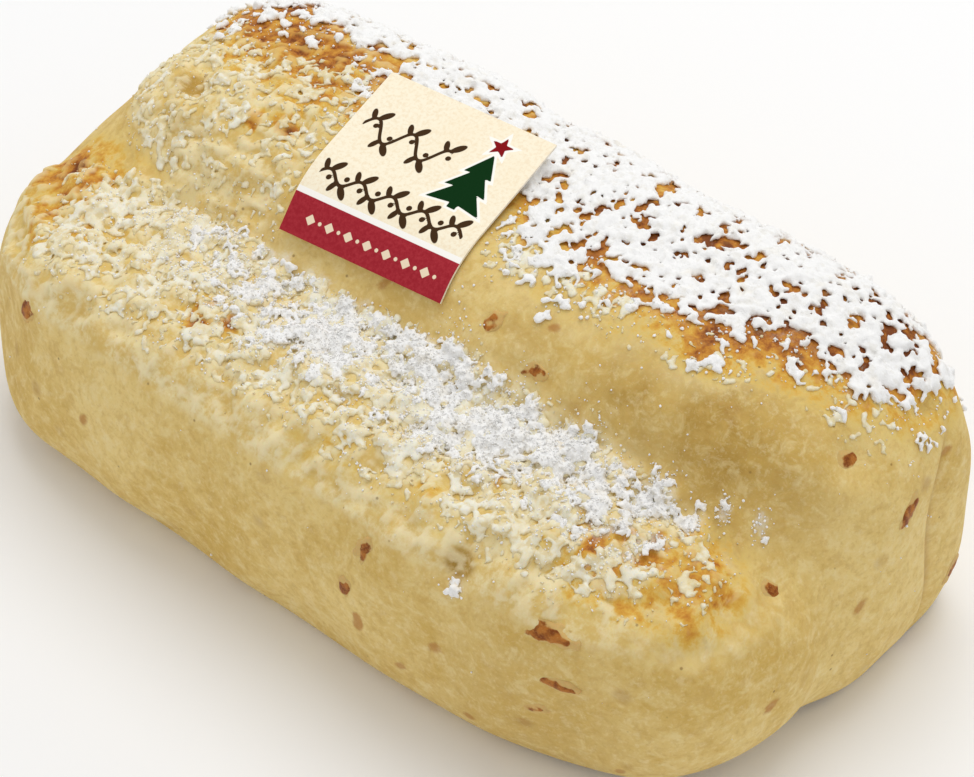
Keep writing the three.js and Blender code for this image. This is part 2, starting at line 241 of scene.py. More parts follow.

# Painted shade: darker olive where shade falls in the crease, in two pits and low on the front wall: a place,
# its radius and how much.
PAINTED_CREASE_SHADE = [((66, -5, 62), 15, 1.0), ((80, -6, 58), 10, 0.7), ((48, -8, 63), 12, 0.8), ((26, -10, 62), 9, 0.5),
         ((70, -16, 54), 10, 0.7), ((40, -17, 55), 8, 0.5), ((-4, -12, 60), 10, 0.35), ((60, -52, 20), 22, 0.5),
         ((40, -47.5, 45), 3.2, 2.2), ((-74.6, 1.6, 64), 3.6, 2.0)]
moist = np.zeros(len(skin))
for at, radius, share in PAINTED_CREASE_SHADE:
    moist = np.maximum(moist, share * np.exp(-((skin - at) ** 2).sum(axis=1) / radius ** 2))
moist = np.minimum(moist, 1.3)

# Short streaks of fruit lying just under the skin: a place, its length and width, and its lean.
STREAKS = [
    ((-8, -14, 61), 5, 2.4, 60), ((28, -8, 67.5), 5, 2.2, 40), ((20, -53.5, 20), 6, 2.4, 80),
    ((38, -52.6, 25), 4, 2.6, 30), ((45, -51, 10), 3, 2.6, 0), ((74, -43, 10), 4, 2.2, 60),
    ((91, 29, 48), 4, 2.2, 20), ((29.5, -53, 14), 4, 2.2, 40), ((-30, -13, 62), 3, 1.8, 70),
    ((-41, -13, 62), 2.4, 1.6, 20), ((-46, -16, 57), 2.4, 1.6, 50), ((22, 9, 71), 5, 2.5, 0),
    ((93, 2, 30), 5, 2.4, 50), ((90, -22, 24), 4, 2.6, 30), ((-52, -54, 26), 4, 2.4, 60),
    ((-20, -54.5, 12), 3.4, 2.0, 20), ((10, 50, 44), 5, 2.4, 40), ((-46, 50, 20), 5, 2.6, 70),
    ((74, 46, 20), 5, 2.4, 20), ((-100, 0, 24), 5, 2.4, 60), ((-100, -20, 14), 4, 2.2, 30),
]
streaked = np.zeros(len(skin))
for at, length, width, lean in STREAKS:
    apart = skin - at
    along = np.array([math.cos(math.radians(lean)), 0, math.sin(math.radians(lean))])
    if abs(at[0]) > 85:
        along = along[[1, 0, 2]]
    run = apart @ along
    off2 = (apart ** 2).sum(axis=1) - run ** 2
    streaked = np.maximum(streaked, np.exp(-((run / length * 1.6) ** 2) - off2 / (width / 1.6) ** 2))

for vertex, (x, y, z) in zip(bm.verts, (crust + FOLD_FROM_ORIGIN) * MM):
    vertex.co = x, y, z
bm.verts.index_update()
old = bm.verts.layers.int.new("place")
for vertex in bm.verts:
    vertex[old] = vertex.index
bmesh.ops.bisect_plane(bm, geom=bm.verts[:] + bm.edges[:] + bm.faces[:], plane_co=(0, 0, 0),
                       plane_no=(0, 0, 1), clear_inner=True)
foot = bmesh.ops.holes_fill(bm, edges=[e for e in bm.edges if e.is_boundary])["faces"]
bmesh.ops.recalc_face_normals(bm, faces=bm.faces)
for face in bm.faces:
    face.smooth = True
for face in foot:
    face.smooth = False
    for edge in face.edges:
        edge.smooth = False
places = np.array([v[old] for v in bm.verts])
loaf_mesh = bpy.data.meshes.new("loaf_crust")
bm.to_mesh(loaf_mesh)
bm.free()
loaf = bpy.data.objects.new("loaf_crust", loaf_mesh)
bpy.context.scene.collection.objects.link(loaf)


def paint(mesh, name, values):
    mesh.attributes.new(name, "FLOAT", "POINT").data.foreach_set("value", values.astype(np.float32))


crust_at = np.array([v.co for v in loaf_mesh.vertices]) / MM - FOLD_FROM_ORIGIN
crust_out = skin_out[places]
paint(loaf_mesh, "browned", browned[places])
paint(loaf_mesh, "crazed", craze_mask[places])
paint(loaf_mesh, "crag", crag[places])
paint(loaf_mesh, "moist", moist[places])
paint(loaf_mesh, "streaked", streaked[places])
paint(loaf_mesh, "groove", seam_groove_shade[places])


class Shade:
    """One output socket of a material's nodes; arithmetic on it adds Math nodes."""

    def __init__(self, socket):
        self.socket = socket

    def node(self, kind, settings, inputs, output=0):
        """Any other node: its type, its settings, and the values or links of its sockets."""
        tree = self.socket.id_data
        made = tree.nodes.new("ShaderNode" + kind)
        for name, value in settings.items():
            if name == "stops":
                while len(made.color_ramp.elements) < len(value):
                    made.color_ramp.elements.new(1.0)
                for stop, (place, colour) in zip(made.color_ramp.elements, value):
                    stop.position, stop.color = place, colour
            else:
                setattr(made, name, value)
        for name, value in inputs.items():
            if isinstance(value, Shade):
                tree.links.new(value.socket, made.inputs[name])
            else:
                made.inputs[name].default_value = value
        return Shade(made.outputs[output])

    def math(self, operation, a, b):
        return self.node("Math", {"operation": operation}, {0: a, 1: b})

    def __add__(self, other):
        return self.math("ADD", self, other)

    __radd__ = __add__

    def __sub__(self, other):
        return self.math("SUBTRACT", self, other)

    def __rsub__(self, other):
        return self.math("SUBTRACT", other, self)

    def __mul__(self, other):
        return self.math("MULTIPLY", self, other)

    __rmul__ = __mul__

    def smooth(self, low, high):
        return self.node("MapRange", {"interpolation_type": "SMOOTHSTEP"},
                         {"Value": self, "From Min": low, "From Max": high})

    def over(self, under, colour):
        """This mask's share of colour laid over what is under it."""
        return self.node("Mix", {"data_type": "RGBA"}, {0: self, 6: under, 7: colour}, output=2)

    def noise(self, size, detail=2.0, roughness=0.5, distortion=0.0):
        return self.node("TexNoise", {}, {"Vector": self, "Scale": 1 / (size * MM), "Detail": detail,
                                          "Roughness": roughness, "Distortion": distortion})

    def attribute(self, name):
        return self.node("Attribute", {"attribute_name": name}, {}, output=2)


def tint(red, green, blue):
    """A colour given in display values of 0 to 255."""
    def linear(v):
        v /= 255
        return v / 12.92 if v <= 0.04045 else ((v + 0.055) / 1.055) ** 2.4
    return linear(red), linear(green), linear(blue), 1.0


def new_material(name):
    """A material, its Principled shader, and the Object coordinates that its patterns read."""
    material = bpy.data.materials.new(name)
    material.use_nodes = True
    shader = material.node_tree.nodes["Principled BSDF"]
    place = material.node_tree.nodes.new("ShaderNodeTexCoord").outputs["Object"]
    return material, shader, Shade(place)


def feed(shader, name, value):
    shader.id_data.links.new(value.socket, shader.inputs[name])


dough_skin, shader, place = new_material("baked_dough")
broad = place.noise(28, 3, 0.55)
mottle = place.noise(5.5, 4, 0.6)
clouded = place.noise(3.2, 5, 0.65, 0.6)
grit = place.noise(2.2, 4, 0.7)
fine = place.noise(0.9, 3, 0.65)
fibre = place.node("Mapping", {}, {"Vector": place, "Scale": (0.35, 0.6, 1.0)}).noise(2.6, 4, 0.6, 0.8)
brown = place.attribute("browned")
broken = place.attribute("crazed")
crag_top = place.attribute("crag")
streak = place.attribute("streaked")
groove = place.attribute("groove")

wall = (broad * 0.55 + mottle * 0.45).smooth(0.36, 0.64).over(tint(212, 178, 98), tint(231, 204, 134))
wall = (fibre.smooth(0.55, 0.72) * 0.3).over(wall, tint(238, 216, 156))
# Painted shade, broken up by mottle: the crease, the pits and the low front wall turn darker olive.
wall = (place.attribute("moist") * (mottle * 2.4 + grit * 1.6 - 1.1)).over(wall, tint(184, 148, 72))
wall = (clouded.smooth(0.49, 0.66) * 0.4).over(wall, tint(236, 217, 162))
wall = ((1 - clouded).smooth(0.5, 0.67) * 0.35).over(wall, tint(194, 156, 84))
wall = (fine.smooth(0.52, 0.72) * 0.3).over(wall, tint(194, 154, 80))
wall = ((1 - fine).smooth(0.54, 0.74) * 0.35).over(wall, tint(238, 220, 168))
wall = (grit.smooth(0.52, 0.7) * 0.35).over(wall, tint(238, 220, 170))
wall = ((1 - grit).smooth(0.54, 0.7) * 0.3).over(wall, tint(196, 158, 84))
valleys = (mottle * 0.7 + fine * 0.3).smooth(0.4, 0.6).over(tint(220, 188, 112), tint(236, 218, 166))
# Where the crease shade is painted, the pale valley colour is held back.
valleys = (broken.smooth(0.05, 0.7) * (1 - place.attribute("moist").smooth(0.4, 1.2))).over(wall, valleys)

ragged = brown + brown.smooth(0.03, 0.35) * (mottle * 1.5 + grit * 1.1 + clouded * 1.1 - 1.85) - crag_top * 0.25
toast = ragged.node("ValToRGB", {"stops": [
    (0.0, tint(230, 206, 134)), (0.16, tint(225, 195, 112)), (0.36, tint(218, 172, 76)),
    (0.6, tint(202, 140, 54)), (0.82, tint(170, 104, 42)), (1.0, tint(124, 68, 32))]}, {"Fac": ragged})
skin_colour = (ragged + (clouded - 0.5) * 0.3).smooth(0.02, 0.3).over(valleys, toast)
crag_colour = brown.smooth(0.3, 0.9).over(tint(240, 226, 184), tint(224, 182, 92))
skin_colour = ((crag_top + (grit - 0.5) * 0.7).smooth(0.1, 0.95) * 0.6).over(skin_colour, crag_colour)

fruit = (streak + (mottle - 0.5) * 0.9 + (grit - 0.5) * 0.5).smooth(0.4, 0.75) * (0.35 + 0.5 * mottle)
skin_colour = fruit.over(skin_colour, tint(172, 108, 48))
spots = place.node("TexVoronoi", {}, {"Vector": place, "Scale": 1 / (9 * MM), "Randomness": 1.0})
chosen = spots.node("SeparateColor", {}, {"Color": Shade(spots.socket.node.outputs["Color"])})
smudge = (1 - spots.smooth(0.08, 0.3)) * chosen.smooth(0.72, 0.78) * (1 - broken)
skin_colour = (smudge * 0.42 * mottle.smooth(0.3, 0.6)).over(skin_colour, tint(158, 108, 54))
dots = place.node("TexVoronoi", {}, {"Vector": place, "Scale": 1 / (3.1 * MM), "Randomness": 1.0})
picked = dots.node("SeparateColor", {}, {"Color": Shade(dots.socket.node.outputs["Color"])})
speck = (1 - dots.smooth(0.05, 0.13)) * picked.smooth(0.9, 0.92)
skin_colour = (speck * 0.6).over(skin_colour, tint(120, 84, 44))
# Painted shade in the seam's groove on the near end wall.
skin_colour = (groove.smooth(0.3, 1.0) * 0.5).over(skin_colour, tint(170, 126, 70))
veil = place.attribute("dusted") * 0.62 + (fine - 0.5) * 0.5 + (grit - 0.5) * 0.6
skin_colour = (veil.smooth(0.15, 0.7) * 0.65).over(skin_colour, tint(244, 240, 228))
feed(shader, "Base Color", skin_colour)
feed(shader, "Roughness", 0.62 - brown * 0.14 + mottle * 0.1)
relief = mottle * 0.5 + fine * 0.16 + fibre * 0.25
feed(shader, "Normal", relief.node("Bump", {}, {"Height": relief, "Strength": 0.35, "Distance": 0.5 * MM}))
shader.inputs["Specular IOR Level"].default_value = 0.12
shader.inputs["Subsurface Weight"].default_value = 0.12
shader.inputs["Subsurface Radius"].default_value = (1.0, 0.55, 0.25)
shader.inputs["Subsurface Scale"].default_value = 1.5 * MM
loaf_mesh.materials.append(dough_skin)
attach(loaf, "root")
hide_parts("loaf")


# ---- the sultanas ----------------------------------------------------------------------------------
# Dried grapes soaked in spirit and worked into the dough. The ones that reach the crust show as dark,
# wrinkled, slightly glossy slivers, pressed flush with it, with baked skin drawn over their edges.

FRUIT_SHOWS = 0.7
FRUIT_HALF = 1.8
FLATTENED = 0.4
# How much of a sultana the skin hides, and where that differs from the usual.
SKIN_USUALLY_OVER = 0.52
SKIN_OVER = {"sultana_01": 0.22, "sultana_05": 0.15, "sultana_10": 0.9, "sultana_11": 0.2}

sultana_skin, shader, place = new_material("sultana_skin")
ripple = place.noise(1.6, 3, 0.6)
grain = place.noise(0.35, 2, 0.5)
colour = ripple.smooth(0.35, 0.65).over(tint(128, 64, 14), tint(182, 114, 44))
colour = (grain.smooth(0.55, 0.75) * 0.4).over(colour, tint(206, 152, 84))
veil = (place.attribute("veil") + (ripple - 0.5) * 0.9).smooth(0.45, 0.8)
colour = (veil * 0.85).over(colour, tint(216, 184, 116))
feed(shader, "Base Color", colour)
feed(shader, "Roughness", 0.36 + ripple * 0.2 + veil * 0.15)
shader.inputs["Specular IOR Level"].default_value = 0.2
feed(shader, "Normal", ripple.node("Bump", {}, {"Height": ripple + grain * 0.3, "Strength": 0.5,
                                                "Distance": 0.3 * MM}))
shader.inputs["Subsurface Weight"].default_value = 0.15
shader.inputs["Subsurface Radius"].default_value = (1.0, 0.35, 0.15)
shader.inputs["Subsurface Scale"].default_value = 0.8 * MM

for node_name in sorted(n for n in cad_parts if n.startswith("sultana_")):
    bm = bmesh.new()
    bm.from_mesh(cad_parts[node_name].data)
    bmesh.ops.remove_doubles(bm, verts=bm.verts, dist=1e-6)
    bmesh.ops.subdivide_edges(bm, edges=bm.edges, cuts=3, use_grid_fill=True, smooth=1.0)
    bmesh.ops.smooth_vert(bm, verts=bm.verts, factor=0.5, use_axis_x=True, use_axis_y=True, use_axis_z=True)
    bm.normal_update()
    middle = sum((v.co for v in bm.verts), Vector()) / len(bm.verts)
    outward = Vector(skin_normals(np.array([middle]) / MM - FOLD_FROM_ORIGIN)[0])
    covered = SKIN_OVER.get(node_name, SKIN_USUALLY_OVER)
    veils = []
    for vertex in bm.verts:
        at = vertex.co / (2.2 * MM)
        crease = 1 - 2 * abs(noise.noise(at)) + 0.5 * noise.noise(at * 2.7)
        vertex.co += vertex.normal * (0.22 * crease - 0.1) * MM
        level = (vertex.co - middle).dot(outward) / MM - (FRUIT_HALF - FRUIT_SHOWS)
        if level > 0:
            vertex.co -= outward * level * (1 - FLATTENED) * MM
        veils.append(0.9 - 1.6 * level + covered)
    for face in bm.faces:
        face.smooth = True
    mesh = bpy.data.meshes.new(node_name + "_fruit")
    bm.to_mesh(mesh)
    bm.free()
    paint(mesh, "veil", np.array(veils))
    mesh.materials.append(sultana_skin)
    fruit_piece = bpy.data.objects.new(node_name + "_fruit", mesh)
    bpy.context.scene.collection.objects.link(fruit_piece)
    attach(fruit_piece, "root")
    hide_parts(node_name)


# ---- the icing sugar -------------------------------------------------------------------------------
# Sifted over the buttered crust. On the hump it has caked into a thick white sheet of fused clots,
# broken by ragged gaps; on the lip it has drunk butter and set as cream lumps, with dry powder and
# loose grains over them along the crease.

# Front edge of the caked sheet: its y at stations along x.
SHEET_FRONT = [(-100, 23), (-76, 18), (-62, 25), (-48, 20), (-30, 17), (-8, 14), (12, 3), (30, 4.5),
               (48, 8), (62, 13.5), (75, 17), (87, 22)]
# Heaps of dry powder on the lip: x, y and radius.
PILES = [(-10, -28, 6.5), (10, -22, 6), (29, -24, 6.5), (43, -21, 5.5), (20, -32, 4), (52, -25, 3),
         (-30, -26, 4), (-20, -33, 4), (60, -17, 3.5), (68, -16, 2), (71.5, -12.5, 1.7), (77.5, -9.5, 1.7)]
CLUMP = (41, -50.5, 41.5)
PIT = (-74.6, 1.6, 65.7)
sheet_waves = make_waves(11, 53)
lobe_waves = make_waves(4.2, 59)
powder_waves = make_waves(5.5, 61)
fleck_waves = make_waves(2.4, 67)


def caked(p):
    """Above 0 where the sheet lies."""
    x, y, z = p.T
    front = np.interp(x, *zip(*SHEET_FRONT))
    inward = np.clip((y - front) / 5, -4, 1.8)
    upward = np.clip((z - 51.5 - 5 * smooth(x, 70, 86)) / 6.5, -4, 1.8)
    thin = 0.9 * smooth(-x, 40, 50) * (1 - smooth(y, 26, 34)) + 0.35 * smooth(-x, 40, 60)
    return np.minimum(inward, upward) - thin + 0.5 * sheet_waves(p) + 0.45 * lobe_waves(p)


def soaked(p):
    """From 0 to 1, how closely the cream lumps lie."""
    x, y, z = p.T
    lip = smooth(-y, 13, 20) * (1 - smooth(-y, 39, 50)) * smooth(z, 44, 49) * (1 - 0.35 * smooth(x, 50, 75))
    lip = lip * (1 - 0.65 * smooth(-x, 74, 86))
    shoulder = 0.6 * smooth(-x, 22, 42) * smooth(z, 54, 62) * (1 - smooth(y, 16, 27)) * (1 - smooth(-x, 82, 94))
    crease = 0.7 * smooth(-x, 52, 66) * smooth(z, 52, 56) * (1 - smooth(y, 8, 16))
    middle = 0.75 * smooth(x, 2, 10) * (1 - smooth(x, 34, 46)) * smooth(z, 66.5, 69) * (1 - smooth(y, 2, 9))
    shoulder = shoulder * (1 - 0.75 * np.exp(-((x + 66) ** 2 + (y - 19) ** 2) / 8 ** 2))
    far_end = 0.6 * smooth(x, 66, 78) * smooth(z, 56, 60) * (1 - smooth(y, 16, 26)) * smooth(y, 4, 12)
    band = 0.34 * smooth(x, 38, 46) * (1 - smooth(x, 72, 82)) * smooth(z, 67, 69) * (1 - smooth(y, 20, 26))
    whole = np.maximum.reduce([lip, shoulder, crease, middle, far_end, band])
    whole = whole * (1 - np.exp(-(((p - PIT) ** 2).sum(axis=1) / 4.2 ** 2) ** 2))
    return whole * np.clip(0.82 + 0.25 * sheet_waves(p) + 0.2 * powder_waves(p), 0.1, 1)


def powdered(p):
    """From 0 to about 1.5, how much dry powder lies along the crease and on the lip."""
    x, y, z = p.T
    along = smooth(x, -82, -20) * (1 - smooth(x, 56, 76))
    across = smooth(-y, 15, 19) * (1 - 0.9 * smooth(-y, 26, 42)) * (1 - smooth(-y, 42, 48))
    piled = np.zeros(len(p))
    for px, py, radius in PILES:
        piled = np.maximum(piled, np.exp(-((x - px) ** 2 + (y - py) ** 2) / radius ** 2))
    level = along * across * np.clip(0.56 + 0.3 * powder_waves(p) + 0.24 * fleck_waves(p), 0, 1.1)
    clump = 1.6 * np.exp(-((p - CLUMP) ** 2).sum(axis=1) / 1.6 ** 2)
    return (level + 0.8 * piled) * smooth(z, 44, 48) + clump


loaf_mesh.calc_loop_triangles()
triangles = np.empty(len(loaf_mesh.loop_triangles) * 3, np.int32)
loaf_mesh.loop_triangles.foreach_get("vertices", triangles)
triangles = triangles.reshape(-1, 3)
corner_at = crust_at[triangles]
areas = np.linalg.norm(np.cross(corner_at[:, 1] - corner_at[:, 0], corner_at[:, 2] - corner_at[:, 0]),
                       axis=1) / 2
middles = corner_at.mean(axis=1)
upwards = crust_out[triangles].mean(axis=1)[:, 2]


def sown(density, random):
    """Places strewn over the crust at a density per square millimetre, and the crust's normals there."""
    count = random.poisson(np.clip(density, 0, None) * areas)
    chosen = np.repeat(np.arange(len(areas)), count)
    share = random.dirichlet((1, 1, 1), len(chosen))[:, :, None]
    at = (corner_at[chosen] * share).sum(axis=1)
    return at, unit_rows((crust_out[triangles[chosen]] * share).sum(axis=1))


def frames(out, random):
    """Turned axes whose third lies along the normal."""
    side = unit_rows(np.cross(out, random.normal(size=out.shape)))
    return np.stack([side, np.cross(out, side), out], axis=2)


def clots(density, reach, slimness, dome, grain, random):
    """Lumps heaped into clots: their places, axes and sizes."""
    at, out = sown(density, random)
    radius = random.uniform(*reach, len(at))
    slim = random.uniform(*slimness, len(at))
    rise = dome * radius * random.uniform(0.5, 1.2, len(at))
    count = np.ceil(1.5 * slim * (radius / grain) ** 2).astype(int)
    clot = np.repeat(np.arange(len(at)), count)
    turned = frames(out, random)[clot]
    far, angle = np.sqrt(random.random(len(clot))), random.uniform(0, 2 * math.pi, len(clot))
    offset = np.stack([far * np.cos(angle) * radius[clot], far * np.sin(angle) * (radius * slim)[clot],
                       rise[clot] * (1 - far ** 2) + grain * random.uniform(-0.1, 0.4, len(clot))], axis=1)
    places = at[clot] + np.einsum("nij,nj->ni", turned, offset)
    width = grain * random.uniform(0.7, 1.35, len(clot)) * (1.1 - 0.3 * far)
    sizes = width[:, None] * random.uniform(0.75, 1.1, (len(clot), 3))
    return places, frames(out[clot], random), sizes


def strewn(name, subdivisions, at, axes, sizes):
    """One mesh of many small lumps, each an icosphere stretched along its own axes."""
    bm = bmesh.new()
    bmesh.ops.create_icosphere(bm, subdivisions=subdivisions, radius=1)
    unit = np.array([v.co for v in bm.verts])
    faces = np.array([[v.index for v in f.verts] for f in bm.faces])
    bm.free()
    corners = np.einsum("nij,nj,kj->nki", axes, sizes, unit) + at[:, None]
    all_faces = (faces[None] + np.arange(len(at))[:, None, None] * len(unit)).reshape(-1)
    mesh = bpy.data.meshes.new(name)
    mesh.vertices.add(len(at) * len(unit))
    mesh.vertices.foreach_set("co", ((corners.reshape(-1, 3) + FOLD_FROM_ORIGIN) * MM).ravel())
    mesh.loops.add(len(all_faces))
    mesh.loops.foreach_set("vertex_index", all_faces)
    mesh.polygons.add(len(all_faces) // 3)
    mesh.polygons.foreach_set("loop_start", np.arange(0, len(all_faces), 3))
    mesh.update(calc_edges=True)
    mesh.shade_smooth()
    made = bpy.data.objects.new(name, mesh)
    bpy.context.scene.collection.objects.link(made)
    return made


def fused(rough, voxel, smoothing, share):
    """The same lumps as one skin, thinned to a share of its faces."""
    remesh = rough.modifiers.new("fuse", "REMESH")
    remesh.mode, remesh.voxel_size = "VOXEL", voxel * MM
    soften = rough.modifiers.new("soften", "SMOOTH")
    soften.factor, soften.iterations = 0.5, smoothing
    thin = rough.modifiers.new("thin", "DECIMATE")
    thin.ratio = share
    mesh = bpy.data.meshes.new_from_object(rough.evaluated_get(bpy.context.evaluated_depsgraph_get()))
    rough.modifiers.clear()
    rough.data = mesh
    mesh.shade_smooth()
    return rough


def settled(piece):
    """The same piece without the slivers that thinning leaves and the bits that don't reach the crust."""
    bm = bmesh.new()
    bm.from_mesh(piece.data)
    unseen, loose = set(bm.verts), []
    while unseen:
        island = [unseen.pop()]
        for vertex in island:
            for edge in vertex.link_edges:
                other = edge.other_vert(vertex)
                if other in unseen:
                    unseen.remove(other)
                    island.append(other)
        gap = min(height_over_crust(vertex.co) for vertex in island)
        if len(island) < SMALLEST_ISLAND or gap > LARGEST_GAP:
            loose += island
    bmesh.ops.delete(bm, geom=loose, context="VERTS")
    bm.to_mesh(piece.data)
    bm.free()
    return piece


def height_over_crust(place):
    """How far a place is from the crust in millimetres, below 0 inside the loaf."""
    nearest, out, _, _ = crust_surface.find_nearest(place)
    return (place - nearest).dot(out) / MM


def paint_rise(piece):
    """Marks on a piece how high over the crust each of its points is, in millimetres."""
    at = np.array([v.co for v in piece.data.vertices]) / MM - FOLD_FROM_ORIGIN
    nearest = np.array([crust_tree.find(p)[1] for p in at])
    paint(piece.data, "rise", ((at - crust_at[nearest]) * crust_out[nearest]).sum(axis=1))


SMALLEST_ISLAND = 6
LARGEST_GAP = 0.1
crust_surface = BVHTree.FromObject(loaf, bpy.context.evaluated_depsgraph_get())
crust_tree = KDTree(len(crust_at))
for index, p in enumerate(crust_at):
    crust_tree.insert(p, index)
crust_tree.balance()


def on_card(p):
    """How far across the label and how far up it a place lies, from its middle."""
    turn = math.radians(5)
    x, y = p[:, 0] + 16.2, p[:, 1] - 2.8
    return x * math.cos(turn) + y * math.sin(turn), y * math.cos(turn) - x * math.sin(turn)


def under_label(p):
    """Where the label lies close on the crust; its far edge stands off it."""
    across, up = on_card(p)
    return (np.abs(across) < 20.5) & (up > -20) & (up < 9) & (p[:, 2] > 50)


def kept(lumps):
    """Only the lumps that don't push up under the label."""
    at, axes, sizes = lumps
    free = ~under_label(at)
    return at[free], axes[free], sizes[free]


sugar, shader, place = new_material("icing_sugar")
clot = place.noise(6, 3, 0.6)
powder = place.noise(0.8, 4, 0.7)
clod = place.noise(1.9, 4, 0.65)
white = (clot.smooth(0.56, 0.75) * 0.5).over(tint(249, 248, 246), tint(244, 237, 224))
white = (powder.smooth(0.5, 0.75) * 0.25).over(white, tint(234, 232, 228))
# Painted shade in the hollows between the sugar's clods.
white = ((1 - clod).smooth(0.5, 0.66) * 0.4).over(white, tint(224, 220, 210))
thin = 1 - (place.attribute("rise") + (powder - 0.5) * 0.3).smooth(0.1, 0.45)
white = (thin * 0.6).over(white, tint(240, 226, 200))
feed(shader, "Base Color", white)
feed(shader, "Roughness", 0.82 + powder * 0.14)
feed(shader, "Normal", powder.node("Bump", {}, {"Height": powder * 0.6 + clod, "Strength": 0.6,
                                                "Distance": 0.6 * MM}))
shader.inputs["Specular IOR Level"].default_value = 0.15
shader.inputs["Subsurface Weight"].default_value = 0.35
shader.inputs["Subsurface Radius"].default_value = (1.0, 1.0, 1.0)
shader.inputs["Subsurface Scale"].default_value = 0.5 * MM

buttered, shader, place = new_material("buttered_sugar")
patch = place.noise(7, 3, 0.6)
powder = place.noise(0.8, 4, 0.7)
low = 1 - (place.attribute("rise") + (powder - 0.5) * 0.5).smooth(0.1, 0.5)
cream = patch.smooth(0.36, 0.64).over(tint(240, 236, 218), tint(236, 225, 190))
cream = (powder.smooth(0.5, 0.7) * 0.35).over(cream, tint(247, 245, 234))
cream = ((1 - powder.smooth(0.3, 0.48)) * 0.25).over(cream, tint(236, 218, 168))
cream = (low * 0.7).over(cream, tint(222, 200, 142))
feed(shader, "Base Color", cream)
feed(shader, "Roughness", 0.55 + powder * 0.25)
feed(shader, "Normal", powder.node("Bump", {}, {"Height": powder, "Strength": 0.4, "Distance": 0.3 * MM}))
shader.inputs["Subsurface Weight"].default_value = 0.2
shader.inputs["Subsurface Radius"].default_value = (1.0, 0.8, 0.45)
shader.inputs["Subsurface Scale"].default_value = 0.8 * MM


def joined(*groups):
    """Several lots of lumps as one."""
    return [np.concatenate(parts) for parts in zip(*groups)]


random = np.random.default_rng(5)
cover = caked(middles)
near_edge, deep = smooth(cover, -0.6, 0.6), smooth(cover, 0.7, 1.6)
stray = smooth(cover, -2.4, -0.9) * (1 - near_edge) * smooth(middles[:, 2], 60, 65)
heaps = clots(0.2 * near_edge + 0.25 * deep + 0.045 * stray, (0.6, 2.0), (0.45, 0.9), 0.5, 0.62, random)
across, up = on_card(middles)
prop = (np.abs(across) < 19) & (up > 12) & (up < 18) & (middles[:, 2] > 60)
props = clots(0.4 * prop, (1.6, 2.4), (0.8, 1), 1.0, 0.7, random)
at, out = sown(0.4 * near_edge + 0.55 * deep + 0.15 * stray, random)
width = random.uniform(0.34, 0.6, len(at))
rise = random.uniform(0.2, 1.1, len(at)) * np.clip(caked(at), 0.4, 1)
crumbs = at + out * rise[:, None], frames(out, random), width[:, None] * random.uniform(0.7, 1.1, (len(at), 3))
sheet = settled(fused(strewn("icing_sugar_sheet", 1, *kept(joined(heaps, props, crumbs))), 0.36, 1, 0.4))
sheet.data.materials.append(sugar)

random = np.random.default_rng(8)
on_lumps = soaked(middles) * (1 - smooth(cover, 0.2, 0.8))
gathered = smooth(on_lumps + 0.2 * lobe_waves(middles), 0.15, 0.7) * smooth(on_lumps, 0.0, 0.1)
at, out = sown(0.6 * gathered, random)
width = (0.5 + 0.85 * random.random(len(at)) ** 1.2) * (0.5 + 0.5 * soaked(at))
sizes = width[:, None] * np.column_stack([random.uniform(0.9, 1.4, len(at)), random.uniform(0.8, 1.0, len(at)),
                                          random.uniform(0.55, 0.85, len(at))])
heaps = at, frames(out, random), sizes
at, out = sown(0.9 * on_lumps, random)
width = random.uniform(0.24, 0.42, len(at))
crumbs = at + out * (width * 0.2)[:, None], frames(out, random), width[:, None] * np.ones(3)
lumps = settled(fused(strewn("buttered_sugar_lumps", 1, *kept(joined(heaps, crumbs))), 0.33, 1, 0.5))
lumps.data.materials.append(buttered)

random = np.random.default_rng(6)
powder_level = powdered(middles)
piled = smooth(powder_level, 0.85, 1.3)
heaps = clots(0.45 * np.clip(powder_level - 0.2, 0, 1) + 0.6 * piled, (0.7, 1.7), (0.6, 1), 0.45, 0.5, random)
at, out = sown(2.2 * np.clip(powder_level - 0.15, 0, 1) + 2.2 * piled, random)
width = random.uniform(0.2, 0.44, len(at))
rise = width * 0.6 + 1.1 * np.clip(powdered(at) - 0.75, 0, 1) * random.random(len(at))
crumbs = at + out * rise[:, None], frames(out, random), width[:, None] * random.uniform(0.7, 1, (len(at), 3))
drift = settled(fused(strewn("icing_sugar_drift", 1, *kept(joined(heaps, crumbs))), 0.24, 0, 0.5))
drift.data.materials.append(sugar)



def rest(at, out):
    """How high over the crust a grain lies that has come down on whatever sugar is there."""
    piles = [BVHTree.FromObject(piece, bpy.context.evaluated_depsgraph_get()) for piece in (sheet, lumps, drift)]
    heights = []
    for place, way in zip((at + FOLD_FROM_ORIGIN) * MM, out):
        start, down = Vector(place + way * DROP * MM), Vector(-way)
        falls = [pile.ray_cast(start, down, DROP * MM)[3] for pile in piles]
        heights.append(DROP - min([fall / MM for fall in falls if fall is not None], default=DROP))
    return np.array(heights)


